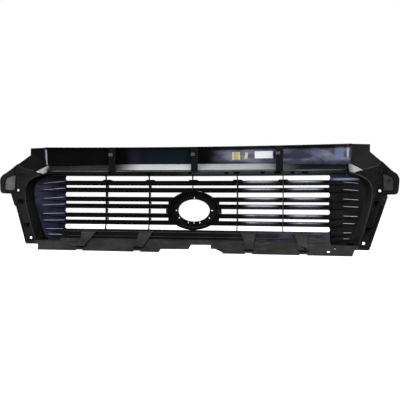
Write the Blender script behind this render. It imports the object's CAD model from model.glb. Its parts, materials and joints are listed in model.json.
import json
import math

import bmesh
import bpy
from mathutils import Matrix, Vector


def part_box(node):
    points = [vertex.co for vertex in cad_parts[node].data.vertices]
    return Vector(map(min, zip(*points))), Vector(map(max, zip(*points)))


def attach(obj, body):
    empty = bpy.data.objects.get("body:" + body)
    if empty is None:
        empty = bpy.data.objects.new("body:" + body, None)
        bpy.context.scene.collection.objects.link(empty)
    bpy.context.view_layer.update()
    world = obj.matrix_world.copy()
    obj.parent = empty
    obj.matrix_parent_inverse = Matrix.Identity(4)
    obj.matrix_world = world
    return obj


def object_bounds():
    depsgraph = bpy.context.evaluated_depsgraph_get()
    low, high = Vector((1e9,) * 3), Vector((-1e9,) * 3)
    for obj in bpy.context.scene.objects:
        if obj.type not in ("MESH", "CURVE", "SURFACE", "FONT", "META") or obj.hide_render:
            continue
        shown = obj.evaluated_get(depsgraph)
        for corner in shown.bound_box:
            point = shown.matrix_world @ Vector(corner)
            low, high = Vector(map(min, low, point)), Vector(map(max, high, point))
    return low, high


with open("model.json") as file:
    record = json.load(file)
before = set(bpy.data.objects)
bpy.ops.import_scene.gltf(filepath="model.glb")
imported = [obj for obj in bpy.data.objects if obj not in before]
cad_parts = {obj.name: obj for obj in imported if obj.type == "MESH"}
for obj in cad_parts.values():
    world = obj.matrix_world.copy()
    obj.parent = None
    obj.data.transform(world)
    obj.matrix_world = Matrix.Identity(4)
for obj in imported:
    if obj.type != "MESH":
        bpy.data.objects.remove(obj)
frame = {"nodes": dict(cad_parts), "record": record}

CAD_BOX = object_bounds()
NODES = frame["nodes"]
MM = 0.001


# ---------------------------------------------------------------- places on the grille


def middle(node):
    """Centre of a node's box, in metres."""
    low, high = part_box(node)
    return (low + high) / 2


EMBLEM = middle("emblem_base")
ORIGIN_BEHIND_EMBLEM = 11
DRAWING_ORIGIN = EMBLEM + Vector((0, ORIGIN_BEHIND_EMBLEM * MM, 0))
BOW_RADIUS = 3600
WING_START = -181.6
WING_SWEEP = 0.45
WING_LEAN = 0.102
HEADER_FOOT = 157.5
HEADER_SETBACK = 12
HEADER_RUN = 14.6
HEADER_RISE = 53
RAIL_REAR = 22.5
APRON_TOP = -97.5
APRON_FALL = 38.5
APRON_REACH = 94


def at(x, y, z):
    """A point given in millimetres from the centre of the emblem opening."""
    return DRAWING_ORIGIN + Vector((x, y, z)) * MM


def bow(x):
    """How far the front has swept back at x, in millimetres."""
    return BOW_RADIUS - math.sqrt(BOW_RADIUS ** 2 - x * x)


def wing_plane(x, z):
    """Rear face of a wing, in millimetres."""
    return WING_START + WING_SWEEP * abs(x) - WING_LEAN * z


def on_wing(side, x, z, lift):
    """A point lifted off the rear face of the left (1) or right (-1) wing."""
    return at(side * x, wing_plane(x, z) + lift, z)


def header_face(x, z):
    """Rear face of the header's upright wall, in millimetres."""
    return bow(x) - HEADER_SETBACK + (z - HEADER_FOOT) * HEADER_RUN / HEADER_RISE


def apron_face(x, z):
    """Rear face of the apron, in millimetres."""
    share = (APRON_TOP - z) / APRON_FALL
    return RAIL_REAR + bow(x) + (APRON_REACH - RAIL_REAR - bow(x)) * share


# ---------------------------------------------------------------- camera, light and floor


def place_camera():
    """The camera stands behind the grille, off towards its right side and level with the emblem."""
    distance = 1.90
    sideways = -0.377
    drop = -0.008
    yaw, pitch, roll = math.radians(-10.54), math.radians(1.28), math.radians(-0.51)
    data = bpy.data.cameras.new("camera")
    data.sensor_width = 36.0
    data.lens = 51.86
    data.clip_end = 100
    camera = bpy.data.objects.new("camera", data)
    facing = Matrix(((-1, 0, 0), (0, 0, 1), (0, 1, 0)))
    turn = (Matrix.Rotation(-yaw, 3, "Y") @ Matrix.Rotation(pitch, 3, "X")
            @ Matrix.Rotation(-roll, 3, "Z"))
    camera.matrix_world = (facing @ turn).to_4x4()
    camera.location = DRAWING_ORIGIN + Vector((sideways, distance, drop))
    bpy.context.scene.collection.objects.link(camera)
    bpy.context.scene.camera = camera


def soft_light(name, place, target, width, height, power):
    """A rectangular lamp at place, aimed at target."""
    data = bpy.data.lights.new(name, "AREA")
    data.shape = "RECTANGLE"
    data.size = width
    data.size_y = height
    data.energy = power
    lamp = bpy.data.objects.new(name, data)
    lamp.location = place
    aim = Vector(target) - Vector(place)
    lamp.rotation_euler = aim.to_track_quat("-Z", "Y").to_euler()
    bpy.context.scene.collection.objects.link(lamp)


def light_studio():
    """Large soft lights in a dim room, which the camera sees as plain white."""
    soft_light("key", (0.3, 2.0, 1.9), (0, 0, 0), 4.6, 2.6, 105)
    soft_light("overhead", (0.1, 0.1, 2.1), (0, 0, 0), 2.2, 0.9, 12)
    soft_light("front_fill", (0, -2.4, 1.2), (0, 0, 0), 2.4, 1.2, 16)
    soft_light("right_fill", (-1.6, 2.3, 0.3), (-0.3, 0, 0), 1.2, 1.6, 28)
    world = bpy.data.worlds.new("studio")
    bpy.context.scene.world = world
    world.use_nodes = True
    tree = world.node_tree
    tree.nodes.clear()
    out = tree.nodes.new("ShaderNodeOutputWorld")
    mix = tree.nodes.new("ShaderNodeMixShader")
    path = tree.nodes.new("ShaderNodeLightPath")
    room = tree.nodes.new("ShaderNodeBackground")
    room.inputs["Color"].default_value = (0.95, 0.97, 1.0, 1)
    room.inputs["Strength"].default_value = 0.2
    backdrop = tree.nodes.new("ShaderNodeBackground")
    backdrop.inputs["Color"].default_value = (1, 1, 1, 1)
    backdrop.inputs["Strength"].default_value = 1.0
    tree.links.new(path.outputs["Is Camera Ray"], mix.inputs["Fac"])
    tree.links.new(room.outputs[0], mix.inputs[1])
    tree.links.new(backdrop.outputs[0], mix.inputs[2])
    tree.links.new(mix.outputs[0], out.inputs["Surface"])


def lay_floor():
    """A white floor just under the lowest edge."""
    reach = 30
    height = CAD_BOX[0].z - 2 * MM
    corners = [(x * reach, y * reach, height) for x, y in ((-1, -1), (1, -1), (1, 1), (-1, 1))]
    mesh = bpy.data.meshes.new("floor")
    mesh.from_pydata(corners, [], [(0, 1, 2, 3)])
    floor = bpy.data.objects.new("floor", mesh)
    bpy.context.scene.collection.objects.link(floor)
    material = bpy.data.materials.new("floor")
    material.use_nodes = True
    shader = material.node_tree.nodes["Principled BSDF"]
    shader.inputs["Base Color"].default_value = (0.9, 0.9, 0.9, 1)
    shader.inputs["Roughness"].default_value = 0.9
    shader.inputs["Emission Color"].default_value = (1, 1, 1, 1)
    shader.inputs["Emission Strength"].default_value = 1.0
    mesh.materials.append(material)
    floor.visible_glossy = False
    floor.visible_diffuse = False


bpy.context.scene.view_settings.view_transform = "Standard"
place_camera()
light_studio()
lay_floor()


# ---------------------------------------------------------------- shader groups


class Wiring:
    """Adds nodes to one shader tree and joins their sockets."""

    def __init__(self, tree):
        self.tree = tree

    def add(self, kind, **settings):
        node = self.tree.nodes.new(kind)
        for key, value in settings.items():
            setattr(node, key, value)
        return node

    def join(self, source, target):
        self.tree.links.new(source, target)

    def put(self, value, target):
        """A socket's value, from another socket or as a constant."""
        if isinstance(value, bpy.types.NodeSocket):
            self.join(value, target)
        else:
            target.default_value = value

    def split(self, vector):
        """The X, Y and Z of a vector."""
        node = self.add("ShaderNodeSeparateXYZ")
        self.join(vector, node.inputs[0])
        return node.outputs

    def place(self):
        """The point being shaded, in metres in the grille's own frame."""
        return self.add("ShaderNodeTexCoord").outputs["Object"]

    def facing(self):
        """The X, Y and Z of the surface normal."""
        return self.split(self.add("ShaderNodeNewGeometry").outputs["Normal"])

    def maths(self, operation, first, second=0.0, limit=False):
        node = self.add("ShaderNodeMath", operation=operation, use_clamp=limit)
        self.put(first, node.inputs[0])
        self.put(second, node.inputs[1])
        return node.outputs[0]

    def ramp(self, value, low, high, to_low=0.0, to_high=1.0):
        """Runs smoothly from to_low to to_high while value goes from low to high."""
        node = self.add("ShaderNodeMapRange", interpolation_type="SMOOTHSTEP")
        self.put(value, node.inputs["Value"])
        self.put(low, node.inputs["From Min"])
        self.put(high, node.inputs["From Max"])
        self.put(to_low, node.inputs["To Min"])
        self.put(to_high, node.inputs["To Max"])
        return node.outputs["Result"]

    def times(self, first, *others):
        """The product of several sockets or constants."""
        for other in others:
            first = self.maths("MULTIPLY", first, other)
        return first

    def band(self, value, centre, inner, outer, peak=1.0):
        """peak while value is within inner of centre, and smoothly down to 0 at outer."""
        off = self.maths("ABSOLUTE", self.maths("SUBTRACT", value, centre))
        return self.ramp(off, inner, outer, peak, 0.0)

    def blend(self, share, first, second):
        """The first colour at share 0 and the second at share 1."""
        node = self.add("ShaderNodeMix", data_type="RGBA", blend_type="MIX", clamp_factor=True)
        self.put(share, node.inputs["Factor"])
        self.put(first, node.inputs[6])
        self.put(second, node.inputs[7])
        return node.outputs[2]

    def noise(self, place, scale, detail=3.0, stretch=None):
        """Cloudy noise, finer along an axis where stretch is larger."""
        if stretch:
            mapping = self.add("ShaderNodeMapping")
            mapping.inputs["Scale"].default_value = stretch
            self.join(place, mapping.inputs["Vector"])
            place = mapping.outputs["Vector"]
        node = self.add("ShaderNodeTexNoise")
        self.join(place, node.inputs["Vector"])
        self.put(scale, node.inputs["Scale"])
        node.inputs["Detail"].default_value = detail
        return node.outputs["Fac"]


def rear_facing(w):
    """1 on whatever faces the engine side, 0 on the grille's front."""
    return w.ramp(w.facing()["Y"], -0.45, -0.15)


def new_group(name, inputs, outputs):
    """A shader group with float or colour inputs, as name: default, and outputs, as name: kind."""
    tree = bpy.data.node_groups.new(name, "ShaderNodeTree")
    for label, default in inputs.items():
        kind = "NodeSocketColor" if isinstance(default, tuple) else "NodeSocketFloat"
        socket = tree.interface.new_socket(label, in_out="INPUT", socket_type=kind)
        socket.default_value = default
    for label, kind in outputs.items():
        tree.interface.new_socket(label, in_out="OUTPUT", socket_type=kind)
    wiring = Wiring(tree)
    return tree, wiring, wiring.add("NodeGroupInput"), wiring.add("NodeGroupOutput")


def make_moulded_grain():
    """Fine pitted skin of a moulding, and the slow unevenness of its shade."""
    tree, w, given, result = new_group(
        "moulded_grain", {"Grain Scale": 900.0, "Cloud Scale": 18.0},
        {"Height": "NodeSocketFloat", "Cloud": "NodeSocketFloat"})
    place = w.place()
    fine = w.noise(place, given.outputs["Grain Scale"], 2.0)
    coarse = w.noise(place, given.outputs["Cloud Scale"], 4.0)
    w.join(fine, result.inputs["Height"])
    w.join(w.ramp(coarse, 0.3, 0.7), result.inputs["Cloud"])
    return tree


def make_overspray():
    """Mist of violet-blue paint that has drifted over a black moulding, in streaks along it."""
    tree, w, given, result = new_group(
        "overspray", {"Start": 0.0, "End": -0.3, "Amount": 1.0, "Streak": 12.0},
        {"Mask": "NodeSocketFloat", "Tint": "NodeSocketColor"})
    place = w.place()
    parts = w.split(place)
    reach = w.ramp(parts["X"], given.outputs["Start"], given.outputs["End"])
    streak = w.noise(place, given.outputs["Streak"], 6.0, (1.0, 2.0, 2.8))
    speckle = w.noise(place, 260.0, 2.0)
    patch = w.ramp(streak, 0.36, 0.64, 0.3, 1.0)
    grain = w.ramp(speckle, 0.3, 0.7, 0.8, 1.0)
    mask = w.times(w.times(reach, patch), w.times(grain, rear_facing(w)))
    w.join(w.maths("MULTIPLY", mask, given.outputs["Amount"], True), result.inputs["Mask"])
    hue = w.noise(place, 9.0, 3.0, (1.0, 2.0, 3.0))
    tint = w.blend(w.ramp(hue, 0.35, 0.65), (0.19, 0.17, 0.33, 1), (0.34, 0.35, 0.47, 1))
    w.join(tint, result.inputs["Tint"])
    return tree


def make_dust():
    """Pale dust lying on whatever faces up."""
    tree, w, given, result = new_group("dust", {"Amount": 0.3}, {"Mask": "NodeSocketFloat"})
    up = w.ramp(w.facing()["Z"], 0.15, 0.95)
    patch = w.ramp(w.noise(w.place(), 40.0, 5.0), 0.38, 0.7)
    w.join(w.times(up, patch, given.outputs["Amount"]), result.inputs["Mask"])
    return tree


def make_scuffs():
    """Thin handling scratches, long in one direction."""
    tree, w, given, result = new_group(
        "scuffs", {"Scale": 60.0, "Threshold": 0.63}, {"Mask": "NodeSocketFloat"})
    line = w.noise(w.place(), given.outputs["Scale"], 6.0, (0.25, 1.0, 3.2))
    edge = w.maths("ADD", given.outputs["Threshold"], 0.05)
    w.join(w.ramp(line, given.outputs["Threshold"], edge), result.inputs["Mask"])
    return tree


def make_cross_hatch():
    """Two sets of fine diagonal ridges, cut into the mould for grip."""
    tree, w, given, result = new_group(
        "cross_hatch", {"Pitch Scale": 260.0}, {"Height": "NodeSocketFloat"})
    place = w.place()
    heights = []
    for angle in (35, -35):
        turned = w.add("ShaderNodeMapping")
        turned.inputs["Rotation"].default_value = (0, math.radians(angle), 0)
        w.join(place, turned.inputs["Vector"])
        wave = w.add("ShaderNodeTexWave", wave_type="BANDS", bands_direction="Z")
        w.join(turned.outputs["Vector"], wave.inputs["Vector"])
        w.join(given.outputs["Pitch Scale"], wave.inputs["Scale"])
        heights.append(wave.outputs["Fac"])
    w.join(w.maths("MINIMUM", *heights), result.inputs["Height"])
    return tree


BAR_NAMES = [name for name in NODES if name.startswith("bar_") and not name.startswith("bar_clip")]
BAR_LEVELS = sorted({round(middle(name).z, 5) for name in BAR_NAMES})
SHADING_POSTS = (-0.150, -0.300, -0.443)


def make_bar_streak():
    """Bright line of paint mist along the upper half of every bar, broken where a post shades it."""
    tree, w, given, result = new_group(
        "bar_streak", {"Start": -0.15, "End": -0.2, "Line Height": 0.0027},
        {"Line": "NodeSocketFloat", "Underside": "NodeSocketFloat"})
    place = w.place()
    parts = w.split(place)
    reach = w.ramp(parts["X"], given.outputs["Start"], given.outputs["End"])
    line = None
    for level in BAR_LEVELS:
        height = w.maths("SUBTRACT", parts["Z"], level)
        band = w.band(height, given.outputs["Line Height"], 0.0008, 0.0036)
        line = band if line is None else w.maths("MAXIMUM", line, band)
    for post in SHADING_POSTS:
        away = w.maths("ABSOLUTE", w.maths("SUBTRACT", parts["X"], post))
        reach = w.times(reach, w.ramp(away, 0.006, 0.05))
    reach = w.times(reach, rear_facing(w))
    streak = w.noise(place, 16.0, 3.0, (0.6, 1.0, 3.5))
    patch = w.ramp(streak, 0.36, 0.6, 0.3, 1.0)
    w.join(w.times(line, reach, patch), result.inputs["Line"])
    w.join(w.times(w.maths("SUBTRACT", 1.0, line), reach), result.inputs["Underside"])
    return tree


BAR_STREAK = make_bar_streak()
GRAIN = make_moulded_grain()
OVERSPRAY = make_overspray()
DUST = make_dust()
SCUFFS = make_scuffs()
CROSS_HATCH = make_cross_hatch()


# ---------------------------------------------------------------- materials


class Finish:
    """One material, with its Principled shader and the groups placed in it."""

    def __init__(self, name, roughness, specular=0.5, metallic=0.0, coat=0.0):
        self.material = bpy.data.materials.new(name)
        self.material.use_nodes = True
        self.w = Wiring(self.material.node_tree)
        self.shader = self.material.node_tree.nodes["Principled BSDF"]
        self.shader.inputs["Roughness"].default_value = roughness
        self.shader.inputs["Specular IOR Level"].default_value = specular
        self.shader.inputs["Metallic"].default_value = metallic
        self.shader.inputs["Coat Weight"].default_value = coat
        self.shader.inputs["Coat Roughness"].default_value = 0.12
        self.place = self.w.place()
        parts = self.w.split(self.place)
        self.x = parts["X"]
        self.z = parts["Z"]

    def use(self, group, **values):
        """Places a group; an underscore in a keyword stands for a space in the input's name."""
        node = self.w.add("ShaderNodeGroup", node_tree=group)
        for label, value in values.items():
            self.w.put(value, node.inputs[label.replace("_", " ")])
        return node.outputs

    def colour(self, value):
        self.w.put(value, self.shader.inputs["Base Color"])

    def roughness(self, value):
        self.w.put(value, self.shader.inputs["Roughness"])

    def bump(self, height, distance, strength):
        """Relief of distance millimetres between heights 0 and 1."""
        node = self.w.add("ShaderNodeBump")
        node.inputs["Strength"].default_value = strength
        node.inputs["Distance"].default_value = distance * MM
        self.w.put(height, node.inputs["Height"])
        self.w.join(node.outputs["Normal"], self.shader.inputs["Normal"])


def grey(value, tint=(1.0, 1.0, 1.0)):
    """A grey, slightly tinted where tint isn't even."""
    return (value * tint[0], value * tint[1], value * tint[2], 1)


def moulded(name, dark, light, roughness, dust=0.25, scuff=0.4, specular=0.4):
    """Grained plastic: cloudy shade, dust on its upper faces, scuffs and a pitted skin."""
    finish = Finish(name, roughness, specular)
    w = finish.w
    skin = finish.use(GRAIN, Grain_Scale=700.0, Cloud_Scale=14.0)
    shade = w.blend(skin["Cloud"], dark, light)
    scratches = finish.use(SCUFFS, Scale=70.0)["Mask"]
    shade = w.blend(w.times(scratches, scuff), shade, grey(0.16))
    lying = finish.use(DUST, Amount=dust)["Mask"]
    finish.colour(w.blend(lying, shade, grey(0.2, (1, 0.99, 0.96))))
    finish.roughness(w.ramp(skin["Cloud"], 0, 1, roughness - 0.06, roughness + 0.08))
    finish.bump(skin["Height"], 0.12, 0.5)
    return finish.material


def glossy(name, dark, light, roughness, start=-0.9, end=-1.0, amount=0.0, streak=12.0, specular=0.4):
    """Smooth plastic with paint mist from start to end along the grille."""
    finish = Finish(name, roughness, specular)
    w = finish.w
    skin = finish.use(GRAIN, Grain_Scale=420.0, Cloud_Scale=9.0)
    shade = w.blend(skin["Cloud"], dark, light)
    mist = finish.use(OVERSPRAY, Start=start, End=end, Amount=amount, Streak=streak)
    shade = w.blend(mist["Mask"], shade, mist["Tint"])
    lying = finish.use(DUST, Amount=0.06)["Mask"]
    finish.colour(w.blend(lying, shade, grey(0.06)))
    finish.roughness(w.ramp(mist["Mask"], 0, 1, roughness, roughness + 0.22))
    finish.bump(skin["Height"], 0.03, 0.3)
    return finish.material


def header_moulding():
    """Black inside the channel, misted towards its right end, and matte grey on the end flanges."""
    finish = Finish("header_moulding", 0.3, 0.07)
    w = finish.w
    skin = finish.use(GRAIN, Grain_Scale=600.0, Cloud_Scale=10.0)
    cloud = skin["Cloud"]
    rear = rear_facing(w)

    black = w.blend(cloud, grey(0.002), grey(0.004))
    teal = w.band(finish.x, 0.09, 0.05, 0.14, 0.9)
    black = w.blend(teal, black, (0.006, 0.011, 0.016, 1))
    violet = w.band(finish.x, 0.205, 0.005, 0.035, 0.8)
    black = w.blend(violet, black, (0.016, 0.013, 0.024, 1))

    below_lip = w.ramp(finish.z, 0.160, 0.166, 1.0, 0.12)
    upright = w.times(below_lip, w.ramp(finish.z, 0.119, 0.131, 0.4, 1.0))
    mist = finish.use(OVERSPRAY, Start=-0.05, End=-0.13, Amount=0.95, Streak=14.0)
    paint = w.blend(0.35, mist["Tint"], (0.14, 0.145, 0.2, 1))
    inside = w.blend(w.times(mist["Mask"], upright), black, paint)
    glint = w.band(finish.x, -0.5025, 0.001, 0.005, 0.9)
    glint = w.times(glint, upright, rear, w.ramp(finish.z, 0.128, 0.140))
    inside = w.blend(glint, inside, (0.5, 0.5, 0.62, 1))
    patch = w.times(w.band(finish.x, -0.477, 0.010, 0.017, 0.75), upright)
    patch = w.times(patch, w.times(w.ramp(finish.z, 0.129, 0.136), rear))
    inside = w.blend(patch, inside, (0.17, 0.24, 0.40, 1))

    flange = w.blend(cloud, grey(0.002), grey(0.005))
    right_flange = w.blend(cloud, grey(0.008), grey(0.014))
    flange = w.blend(w.ramp(finish.x, -0.5, -0.52), flange, right_flange)
    left_mist = w.times(w.ramp(finish.x, 0.525, 0.5135), w.ramp(finish.x, 0.0, 0.1))
    left_mist = w.times(left_mist, w.ramp(finish.z, 0.125, 0.15), 0.7)
    flange = w.blend(left_mist, flange, (0.045, 0.038, 0.085, 1))

    channel = w.ramp(w.maths("ABSOLUTE", finish.x), 0.5115, 0.5135, 1.0, 0.0)
    lying = finish.use(DUST, Amount=0.1)["Mask"]
    finish.colour(w.blend(lying, w.blend(channel, flange, inside), grey(0.05)))
    finish.roughness(w.ramp(channel, 0, 1, 0.62, 0.4))
    finish.bump(skin["Height"], 0.08, 0.4)
    return finish.material


def louvre_bar():
    """Smooth black bars with a pale line of paint mist along their right half."""
    finish = Finish("louvre_bar", 0.35, 0.1)
    w = finish.w
    skin = finish.use(GRAIN, Grain_Scale=420.0, Cloud_Scale=9.0)
    shade = w.blend(skin["Cloud"], grey(0.001), grey(0.003))
    streak = finish.use(BAR_STREAK)
    shade = w.blend(w.times(streak["Underside"], 0.6), shade, (0.028, 0.026, 0.045, 1))
    finish.colour(w.blend(streak["Line"], shade, (0.55, 0.55, 0.66, 1)))
    finish.bump(skin["Height"], 0.03, 0.3)
    return finish.material


def blank_panel():
    """End panels: navy with pale mist on the left one, charcoal on the right one."""
    finish = Finish("blank_panel", 0.3, 0.14, coat=0.03)
    w = finish.w
    skin = finish.use(GRAIN, Grain_Scale=420.0, Cloud_Scale=16.0)
    right = w.blend(skin["Cloud"], grey(0.004), grey(0.010, (1, 1.02, 1.02)))
    left = w.blend(skin["Cloud"], (0.003, 0.004, 0.012, 1), (0.020, 0.020, 0.045, 1))
    mist = finish.use(OVERSPRAY, Start=0.42, End=0.54, Amount=0.07, Streak=30.0)
    left = w.blend(mist["Mask"], left, mist["Tint"])
    streak = w.times(w.band(finish.z, 0.0635, 0.001, 0.006), w.ramp(finish.x, -0.445, -0.475))
    blue = w.blend(skin["Cloud"], (0.02, 0.03, 0.07, 1), (0.07, 0.08, 0.16, 1))
    blue = w.blend(streak, blue, (0.6, 0.65, 0.8, 1))
    right = w.blend(w.times(w.ramp(finish.z, 0.058, 0.066), 0.8), right, blue)
    left = w.blend(w.times(w.ramp(finish.z, 0.045, 0.065), 0.75), left, grey(0.003))
    finish.colour(w.blend(w.ramp(finish.x, -0.1, 0.1), right, left))
    finish.bump(skin["Height"], 0.03, 0.3)
    return finish.material


def ledge_satin():
    """Smooth grey strip, pale along its middle and darker towards both ends."""
    finish = Finish("ledge_satin", 0.3, 0.25)
    w = finish.w
    skin = finish.use(GRAIN, Grain_Scale=300.0, Cloud_Scale=12.0)
    from_left = w.maths("POWER", w.ramp(finish.x, 0.30, 0.175), 1.9)
    past_middle = w.ramp(finish.x, 0.02, -0.03, 1.0, 0.68)
    to_right = w.times(past_middle, w.ramp(finish.x, -0.16, -0.37, 1.0, 0.0))
    share = w.times(from_left, to_right)
    dull = w.blend(skin["Cloud"], grey(0.018), grey(0.034))
    dull = w.blend(w.ramp(finish.x, -0.2, -0.36), dull, grey(0.003))
    pale = w.blend(skin["Cloud"], (0.47, 0.475, 0.49, 1), (0.54, 0.545, 0.56, 1))
    finish.colour(w.blend(share, dull, pale))
    finish.roughness(w.ramp(skin["Cloud"], 0, 1, 0.24, 0.32))
    finish.bump(skin["Height"], 0.02, 0.3)
    return finish.material


def hatched_pale():
    """Pale facet with a fine diagonal hatch, darker towards the middle of the grille."""
    finish = Finish("hatched_pale", 0.6, 0.3)
    w = finish.w
    ridges = finish.use(CROSS_HATCH, Pitch_Scale=300.0)["Height"]
    fade = w.ramp(w.maths("ABSOLUTE", finish.x), 0.503, 0.524)
    base = w.blend(fade, grey(0.1), grey(0.36, (0.985, 1, 0.99)))
    finish.colour(w.blend(w.times(ridges, 0.35), base, grey(0.2)))
    finish.bump(ridges, 0.4, 0.6)
    return finish.material


def wing_moulding():
    """Grained charcoal wings; the right one has a dark worn band between its two ridges."""
    finish = Finish("wing_moulding", 0.6, 0.1)
    w = finish.w
    skin = finish.use(GRAIN, Grain_Scale=700.0, Cloud_Scale=16.0)
    shade = w.blend(skin["Cloud"], grey(0.006), grey(0.013, (0.98, 1, 1.02)))
    right = w.blend(skin["Cloud"], grey(0.004), grey(0.009, (0.98, 1, 1.06)))
    shade = w.blend(w.ramp(finish.x, -0.1, 0.1), right, shade)
    dark_top = w.times(w.ramp(finish.z, 0.01, 0.05), w.ramp(finish.x, 0.1, -0.1, 0.35, 0.8))
    shade = w.blend(dark_top, shade, grey(0.0025))
    centre = w.maths("ADD", w.times(finish.z, 0.285), 0.5855)
    worn = w.band(w.maths("ABSOLUTE", finish.x), centre, 0.006, 0.010)
    worn = w.times(worn, w.ramp(finish.x, 0.1, -0.1), w.ramp(finish.z, -0.118, -0.105))
    shade = w.blend(worn, shade, grey(0.001))
    specks = w.ramp(w.noise(finish.place, 160.0, 2.0), 0.6, 0.68)
    shade = w.blend(w.times(specks, 0.35), shade, grey(0.03))
    finish.colour(shade)
    finish.bump(skin["Height"], 0.12, 0.5)
    return finish.material


def upper_rail_moulding():
    """Black rail, worn grey from the middle to its right end."""
    finish = Finish("upper_rail_moulding", 0.4, 0.12)
    w = finish.w
    skin = finish.use(GRAIN, Grain_Scale=420.0, Cloud_Scale=12.0)
    shade = w.blend(skin["Cloud"], grey(0.003), grey(0.007))
    worn = w.times(w.ramp(finish.x, 0.06, -0.01), w.ramp(finish.x, -0.38, -0.47, 1.0, 0.1))
    worn = w.times(worn, w.ramp(skin["Cloud"], 0, 1, 0.7, 1.0))
    finish.colour(w.blend(worn, shade, (0.036, 0.037, 0.042, 1)))
    finish.bump(skin["Height"], 0.03, 0.3)
    return finish.material


def tip_pad_finish():
    """Rough foam pad in the wing tip, paler on the left."""
    finish = Finish("tip_pad_finish", 0.85, 0.2)
    w = finish.w
    skin = finish.use(GRAIN, Grain_Scale=240.0, Cloud_Scale=60.0)
    pale = w.blend(skin["Cloud"], grey(0.08), grey(0.16))
    dim = w.blend(skin["Cloud"], grey(0.015), grey(0.035))
    finish.colour(w.blend(w.ramp(finish.x, -0.1, 0.1), dim, pale))
    finish.bump(skin["Height"], 0.5, 0.8)
    return finish.material


def zinc_plate():
    """Plated sheet metal of the nuts."""
    finish = Finish("zinc_plate", 0.42, 0.5, 1.0)
    w = finish.w
    skin = finish.use(GRAIN, Grain_Scale=500.0, Cloud_Scale=150.0)
    finish.colour(w.blend(skin["Cloud"], grey(0.07), grey(0.2)))
    finish.bump(skin["Height"], 0.04, 0.4)
    return finish.material


def paper(name, colour, shade, half_width, centre):
    """Blank sticker, a little darker across its middle."""
    finish = Finish(name, 0.55, 0.3)
    w = finish.w
    skin = finish.use(GRAIN, Grain_Scale=800.0, Cloud_Scale=90.0)
    across = w.band(finish.x, centre, half_width * 0.45, half_width * 0.7)
    across = w.times(across, w.ramp(skin["Cloud"], 0, 1, 0.5, 0.9))
    finish.colour(w.blend(across, colour, shade))
    finish.bump(skin["Height"], 0.02, 0.2)
    return finish.material


COOL = (0.98, 1, 1.02)
PLAIN_BLACK = glossy("plain_black", grey(0.001), grey(0.003), 0.4, specular=0.12)
DEEP_SHADE = moulded("socket_black", grey(0.0005), grey(0.002), 0.8, 0.0, 0.02, 0.03)
RIDGE_GREY = moulded("rubbed_ridge", grey(0.016), grey(0.04), 0.5, 0.05, 0.3, 0.3)
RAIL_EDGE = moulded("rail_edge", grey(0.04), grey(0.10), 0.4, 0.05, 0.3, 0.3)
MIST_GLINT = glossy("misted_edge", (0.3, 0.29, 0.4, 1), (0.5, 0.49, 0.6, 1), 0.3)
LOOKS = {
    "gloss_black": glossy("moulded_black", grey(0.002), grey(0.005), 0.34,
                          start=-0.02, end=-0.30, amount=0.2, specular=0.1),
    "overspray_black": glossy("misted_black", grey(0.001), grey(0.003), 0.5,
                              start=-0.10, end=-0.30, amount=0.16, streak=22.0, specular=0.04),
    "matte_grey": moulded("grained_charcoal", grey(0.003), grey(0.008, COOL), 0.6, 0.03, 0.12, 0.12),
    "ledge_grey": ledge_satin(),
    "gusset_grey": hatched_pale(),
    "arm_grey": moulded("grained_grey", grey(0.012), grey(0.03), 0.62, 0.06, 0.2, 0.15),
    "steel": zinc_plate(),
    "pale_grey": tip_pad_finish(),
    "label_white": paper("blank_white_paper", grey(0.98), grey(0.95), 0.030, -0.236),
    "label_yellow": paper("blank_yellow_paper", (0.62, 0.63, 0.36, 1), (0.44, 0.38, 0.12, 1),
                          0.0135, -0.144),
}
NODE_LOOKS = {
    "header_panel": header_moulding(),
    "surround_upper": upper_rail_moulding(),
    "surround_side_right": moulded("side_charcoal", grey(0.008), grey(0.018, (0.97, 1, 1.05)),
                                   0.5, 0.05, 0.2, 0.2),
    "lower_apron": moulded("apron_charcoal", grey(0.012), grey(0.026, (0.98, 1, 1)),
                           0.62, 0.05, 0.2, 0.12),
}
SHARED_LOOKS = (
    (("end_panel_left", "end_panel_right"), blank_panel()),
    (("wing_left", "wing_right"), wing_moulding()),
    ([name for name in NODES if name.startswith("header_bracket")], PLAIN_BLACK),
    (BAR_NAMES, louvre_bar()),
)
for names, look in SHARED_LOOKS:
    for name in names:
        NODE_LOOKS[name] = look


# ---------------------------------------------------------------- softened edges on the mouldings


# Width of the rounded edges in millimetres, by the start of a node's name.
EDGE_WIDTHS = {
    "header_panel": 0.25,
    "end_panel": 1.1,
    "bracket_nut": 0.2,
    "label": 0.08,
}
PLAIN_EDGE_WIDTH = 0.6
WELD_WITHIN = 0.02
FLAT_WITHIN = math.radians(0.4)
EDGE_OVER = math.radians(28)
# Merged facets would lift the softened top of these nodes above their solids.
KEEPS_FACETS = ("header_panel",)


def edge_width(node):
    """Width of the rounded edges on a node, in millimetres."""
    for start, width in EDGE_WIDTHS.items():
        if node.startswith(start):
            return width
    return PLAIN_EDGE_WIDTH


def soften(node):
    """Small rounded edges on a moulding, shaded smooth."""
    piece = NODES[node]
    for face in piece.data.polygons:
        face.use_smooth = True
    weld = piece.modifiers.new("weld", "WELD")
    weld.merge_threshold = WELD_WITHIN * MM
    if node not in KEEPS_FACETS:
        flat = piece.modifiers.new("flats", "DECIMATE")
        flat.decimate_type = "DISSOLVE"
        flat.angle_limit = FLAT_WITHIN
    bevel = piece.modifiers.new("edges", "BEVEL")
    bevel.width = edge_width(node) * MM
    bevel.segments = 2
    bevel.limit_method = "ANGLE"
    bevel.angle_limit = EDGE_OVER
    normal = piece.modifiers.new("normals", "WEIGHTED_NORMAL")
    normal.keep_sharp = True


for part in frame["record"]["subparts"]:
    node = part["node"]
    soften(node)
    data = NODES[node].data
    data.materials.clear()
    data.materials.append(NODE_LOOKS.get(node, LOOKS[part["material_slot"]]))


# ---------------------------------------------------------------- fine pieces


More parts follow.
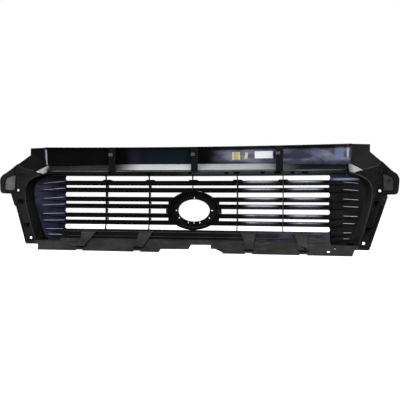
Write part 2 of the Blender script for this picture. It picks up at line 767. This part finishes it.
def finish_piece(name, maker, material, smooth=True):
    """Turns a bmesh into a piece that rides on the grille."""
    mesh = bpy.data.meshes.new(name)
    bmesh.ops.recalc_face_normals(maker, faces=maker.faces)
    maker.to_mesh(mesh)
    maker.free()
    for face in mesh.polygons:
        face.use_smooth = smooth
    mesh.materials.append(material)
    piece = bpy.data.objects.new(name, mesh)
    bpy.context.scene.collection.objects.link(piece)
    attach(piece, "root")


BEAD_END = 0.45


def add_bead(maker, points, radius, flatten=1.0, sides=8):
    """A round bead along a line of points, narrower at its two ends."""
    count = len(points)
    rings = []
    for index, point in enumerate(points):
        along = points[min(index + 1, count - 1)] - points[max(index - 1, 0)]
        along.normalize()
        rear = Vector((0, 1, 0))
        across = along.cross(rear).normalized()
        rear = across.cross(along).normalized()
        size = radius * MM * (BEAD_END if index in (0, count - 1) else 1.0)
        loop = []
        for k in range(sides):
            angle = 2 * math.pi * k / sides
            offset = across * math.cos(angle) * size + rear * math.sin(angle) * size * flatten
            loop.append(maker.verts.new(point + offset))
        rings.append(loop)
    for first, second in zip(rings, rings[1:]):
        for k in range(sides):
            maker.faces.new((first[k], first[(k + 1) % sides], second[(k + 1) % sides], second[k]))
    maker.faces.new(rings[0])
    maker.faces.new(list(reversed(rings[-1])))


def add_block(maker, centre, size, taper=1.0):
    """A small block, its rear face drawn in by taper."""
    corners = []
    for depth, scale in ((-0.5, 1.0), (0.5, taper)):
        for across, up in ((-0.5, -0.5), (0.5, -0.5), (0.5, 0.5), (-0.5, 0.5)):
            offset = Vector((across * size[0] * scale, depth * size[1], up * size[2] * scale)) * MM
            corners.append(maker.verts.new(centre + offset))
    front, rear = corners[:4], corners[4:]
    maker.faces.new(list(reversed(front)))
    maker.faces.new(rear)
    for k in range(4):
        maker.faces.new((front[k], front[(k + 1) % 4], rear[(k + 1) % 4], rear[k]))


def curve_through(points, steps=5):
    """Points on a smooth line through the given ones."""
    result = []
    for i in range(len(points) - 1):
        before = points[max(i - 1, 0)]
        start, end = points[i], points[i + 1]
        after = points[min(i + 2, len(points) - 1)]
        for k in range(steps):
            t = k / steps
            result.append(0.5 * (2 * start + (end - before) * t
                                 + (2 * before - 5 * start + 4 * end - after) * t * t
                                 + (3 * start - before - 3 * end + after) * t ** 3))
    result.append(points[-1])
    return result


OVAL_STEPS = 72


def oval(x_radius, z_radius, y, start=0, end=OVAL_STEPS):
    """Points round the emblem opening, from step start to step end of OVAL_STEPS."""
    points = []
    for k in range(start, end + 1):
        angle = 2 * math.pi * k / OVAL_STEPS
        points.append(at(x_radius * math.cos(angle), y, z_radius * math.sin(angle)))
    return points


SIDE_PATH = ((531.5, -101), (545, -62), (557, -20), (566, 14), (571, 45),
             (571, 70), (567, 86), (556, 99), (541, 109), (523, 116))


def side_wall_rear(x, z):
    """Rear edge of the opening's side wall, which deepens outwards until the wing covers it."""
    share = min(max((x - 503) / 55, 0), 1)
    return max(57 + 11 * share, wing_plane(x, z) + 1.2)


def side_rim(name, side):
    """Rubbed ridge round the rear edge of the opening's side wall."""
    points = [at(side * (x + 1.4), side_wall_rear(x, z) - 0.4, z) for x, z in SIDE_PATH]
    maker = bmesh.new()
    add_bead(maker, curve_through(points), 1.5, 0.8)
    finish_piece(name, maker, RIDGE_GREY)


def seam_ridge(name, side):
    """Rounded ridge where the header's end flange runs down to the wing."""
    path = ((547, 129.3), (566, 134.6), (587, 140.6), (597, 150))
    points = [on_wing(side, x, z, 0.2) for x, z in path]
    maker = bmesh.new()
    add_bead(maker, curve_through(points), 2.6, 0.5)
    finish_piece(name, maker, LOOKS["arm_grey"])


def crease_bead(name, side, material):
    """Rounded corner between the header's channel and its end flange."""
    stations = ((206, 39.9), (199, 38.7), (190, 37.0), (180, 34.8), (170, 32.0), (160, 28.6), (153, 26.6))
    points = [at(side * (512.6 + 1.5 * (207.5 - z) / 54), y, z) for z, y in stations]
    maker = bmesh.new()
    add_bead(maker, curve_through(points), 2.6, 0.9)
    finish_piece(name, maker, material)


def tip_edge(name, side):
    """Dark rolled edge round the wing's tip."""
    outermost = 644
    inset = 1.2
    corners = ((603, 150.5), (617, 136), (630.5, 119.5), (641, 106), (645, 90),
               (643, 64), (640.5, 57), (633, 53.8), (608, 53.6))
    points = [at(side * min(x, outermost) - side * inset, wing_plane(x, z) + 0.6, z) for x, z in corners]
    maker = bmesh.new()
    add_bead(maker, curve_through(points, 3), 1.7, 1.0)
    finish_piece(name, maker, DEEP_SHADE)


def pocket_lining(name, side):
    """Dark floor and walls inside the two wing pockets."""
    maker = bmesh.new()
    for x, z in ((585, 25), (563, -55)):
        floor = wing_plane(x, z) - 7.4
        wall = floor + 3.4
        add_block(maker, at(side * x, floor, z), (15.8, 0.8, 13.8))
        for way in (-1, 1):
            add_block(maker, at(side * x + way * 7.6, wall, z), (0.7, 6.4, 13.6))
            add_block(maker, at(side * x, wall, z + way * 6.6), (14.4, 6.4, 0.7))
    finish_piece(name, maker, DEEP_SHADE, smooth=False)


def screw_seat_rings(name, side):
    """Worn dark ring round each screw hole."""
    radius = 6.6
    steps = 24
    maker = bmesh.new()
    for x, z in ((594, 64), (547, -97)):
        points = []
        for k in range(steps + 1):
            angle = 2 * math.pi * k / steps
            points.append(on_wing(side, x + radius * math.cos(angle), z + radius * math.sin(angle), 2.0))
        add_bead(maker, points, 1.5, 0.4)
    finish_piece(name, maker, DEEP_SHADE)


def wing_ribs(name, side):
    """Short upright ribs above the upper screw seat, and a long ridge beside the tip."""
    maker = bmesh.new()
    for x in (583, 590, 597, 604):
        z = 118 - (x - 583) * 0.1
        points = [on_wing(side, x, z + rise, 0.3) for rise in (-7, 0, 7)]
        add_bead(maker, points, 1.1, 0.9)
    points = [on_wing(side, x, z, 0.2) for x, z in ((600, 54), (601.5, 80), (601, 112))]
    add_bead(maker, points, 1.3, 0.8)
    finish_piece(name, maker, DEEP_SHADE)


def corner_webs(name, side):
    """Thin webs that close the corners between the mouldings."""
    maker = bmesh.new()
    add_block(maker, at(side * 506, 22, 138), (15, 3, 42))
    add_block(maker, at(side * 523, 42, -104), (46, 3, 14))
    add_block(maker, at(side * 449, 20, -77), (14, 3, 25))
    finish_piece(name, maker, DEEP_SHADE, smooth=False)


def panel_floor(name, side):
    """Floor between the foot of an end panel and the apron."""
    maker = bmesh.new()
    for x in range(446, 517, 10):
        add_block(maker, at(side * x, bow(x) + 8, -105), (10.4, 36, 2))
    finish_piece(name, maker, LOOKS["matte_grey"], smooth=False)


def tip_web(name, side):
    """Thin web under the wing's tip."""
    maker = bmesh.new()
    outline = ((594, 57), (620, 58), (614.5, 50), (603, 14), (600, 10), (592, 40))
    front = [maker.verts.new(on_wing(side, x, z, -2.6)) for x, z in outline]
    rear = [maker.verts.new(on_wing(side, x, z, -0.6)) for x, z in outline]
    maker.faces.new(front)
    maker.faces.new(list(reversed(rear)))
    for k in range(len(outline)):
        follow = (k + 1) % len(outline)
        maker.faces.new((front[k], front[follow], rear[follow], rear[k]))
    finish_piece(name, maker, LOOKS["matte_grey"], smooth=False)


PANEL_START = 443
RIB_DEPTH = 10.5
LOW_RIBS = [-73, -93]


def rib_glints(name, side, start, end):
    """Thin crest along each rib of an end panel, where the paint mist has settled."""
    steps = 8
    maker = bmesh.new()
    levels = [(level - EMBLEM.z) / MM for level in BAR_LEVELS] + LOW_RIBS
    for z in levels:
        far = min(551 + min(0.33 * z, 0), 548) - 8
        points = []
        for k in range(steps + 1):
            x = start + (min(end, far - 4) - start) * k / steps
            share = (x - PANEL_START) / (far - PANEL_START)
            size = 1 - 0.7 * share
            rear = bow(x) - RIB_DEPTH + RIB_DEPTH * size - 0.6 * size
            points.append(at(side * x, rear - 0.2, z * (1 - 0.06 * share) + 5.6 * size))
        add_bead(maker, points, 1.0, 0.6, 6)
    finish_piece(name, maker, MIST_GLINT)


def emblem_teeth():
    """Fine radial ribs on the floor of the emblem seat, and an outer bead."""
    count = 64
    quarter = 16
    floor = -19.4
    maker = bmesh.new()
    for k in range(count):
        # The seat is plain at the ends of its two axes.
        if k % quarter in (0, 1, quarter - 1):
            continue
        angle = 2 * math.pi * k / count
        inner = at(61.5 * math.cos(angle), floor, 43.0 * math.sin(angle))
        outer = at(73.5 * math.cos(angle), floor, 53.0 * math.sin(angle))
        add_bead(maker, [inner, (inner + outer) / 2, outer], 0.8, 1.0, 6)
    add_bead(maker, oval(83.0, 61.2, floor + 0.2), 1.2, 1.0, 6)
    finish_piece("emblem_teeth", maker, LOOKS["arm_grey"])


def seat_shoulders():
    """Square shoulders that fill the ends of the gaps beside the emblem seat."""
    maker = bmesh.new()
    for side in (1, -1):
        add_block(maker, at(side * 86, -12, -2.7), (16, 20, 15.0))
        for z in (24.9, -30.3):
            add_block(maker, at(side * 81, -12, z), (10, 20, 8.0))
    finish_piece("seat_shoulders", maker, PLAIN_BLACK, smooth=False)


def seat_rings():
    """Two thin rings on the rim of the emblem seat, worn pale at the bottom."""
    maker = bmesh.new()
    for x_radius, z_radius, start, end in ((86, 64, 0, OVAL_STEPS), (79, 57.5, 47, 61)):
        add_bead(maker, oval(x_radius, z_radius, 0.6, start, end), 0.9, 0.7, 6)
    finish_piece("seat_rings", maker, RIDGE_GREY)


def lower_rail_lines():
    """Two thin ridges along the rear of the lower rail."""
    maker = bmesh.new()
    for z in (-73.5, -89):
        points = [at(x, bow(x) + 22.3, z) for x in range(-430, 431, 20)]
        add_bead(maker, points, 0.9, 0.9, 6)
    finish_piece("lower_rail_lines", maker, RIDGE_GREY)


def rail_lugs():
    """Low dark lugs along the rear of the upper rail."""
    maker = bmesh.new()
    lugs = ((283, 9), (150, 12), (8, 10), (-115, 12), (-150, 18),
            (-235, 12), (-283, 22), (-330, 12), (-370, 20))
    for x, width in lugs:
        add_block(maker, at(x, bow(x) + 22.6, 124.5), (width, 3.2, 5.4), taper=0.75)
    finish_piece("rail_lugs", maker, DEEP_SHADE, smooth=False)


def rail_strip():
    """Rounded rear edge along the upper rail, which catches the light."""
    maker = bmesh.new()
    points = [at(x, bow(x) + 21.2, 130.0) for x in range(-495, 496, 30)]
    add_bead(maker, points, 2.2, 0.8)
    finish_piece("rail_strip", maker, RAIL_EDGE)


def header_fins():
    """Thin upright fins on the header: three beside the left bracket, and one beside each other one."""
    steps = 3
    maker = bmesh.new()
    fins = ((258, 200, 176), (252, 204, 170), (245, 204, 172), (-23, 198, 172), (-271, 200, 172))
    for x, top, bottom in fins:
        points = []
        for k in range(steps + 1):
            z = top + (bottom - top) * k / steps
            points.append(at(x, header_face(x, z) + 1.2, z))
        add_bead(maker, points, 1.1, 1.6, 6)
    finish_piece("header_fins", maker, LOOKS["gloss_black"])


def ejector_marks():
    """Round marks left by the mould's ejector pins on the apron."""
    radius = 3.4
    level = -108
    rise_per_slope = 0.47
    run_per_rise = 1.86
    steps = 16
    maker = bmesh.new()
    for x in (-480, -410, -300, -250, -140, 120, 220, 300, 410, 470):
        y = apron_face(x, level)
        points = []
        for k in range(steps + 1):
            angle = 2 * math.pi * k / steps
            rise = radius * math.sin(angle) * rise_per_slope
            points.append(at(x + radius * math.cos(angle), y - rise * run_per_rise, level + rise))
        add_bead(maker, points, 0.35, 1.0, 6)
    finish_piece("ejector_marks", maker, LOOKS["matte_grey"])


for side, word in ((1, "left"), (-1, "right")):
    side_rim("side_rim_" + word, side)
    seam_ridge("seam_ridge_" + word, side)
    pocket_lining("pocket_lining_" + word, side)
    screw_seat_rings("screw_seat_rings_" + word, side)
    wing_ribs("wing_ribs_" + word, side)
    corner_webs("corner_webs_" + word, side)
    tip_edge("tip_edge_" + word, side)
    tip_web("tip_web_" + word, side)
    panel_floor("panel_floor_" + word, side)
rib_glints("rib_glints_left", 1, 446, 526)
rib_glints("rib_glints_right", -1, 488, 536)
crease_bead("crease_bead_left", 1, MIST_GLINT)
crease_bead("crease_bead_right", -1, LOOKS["gloss_black"])
emblem_teeth()
seat_shoulders()
seat_rings()
lower_rail_lines()
rail_lugs()
rail_strip()
header_fins()
ejector_marks()
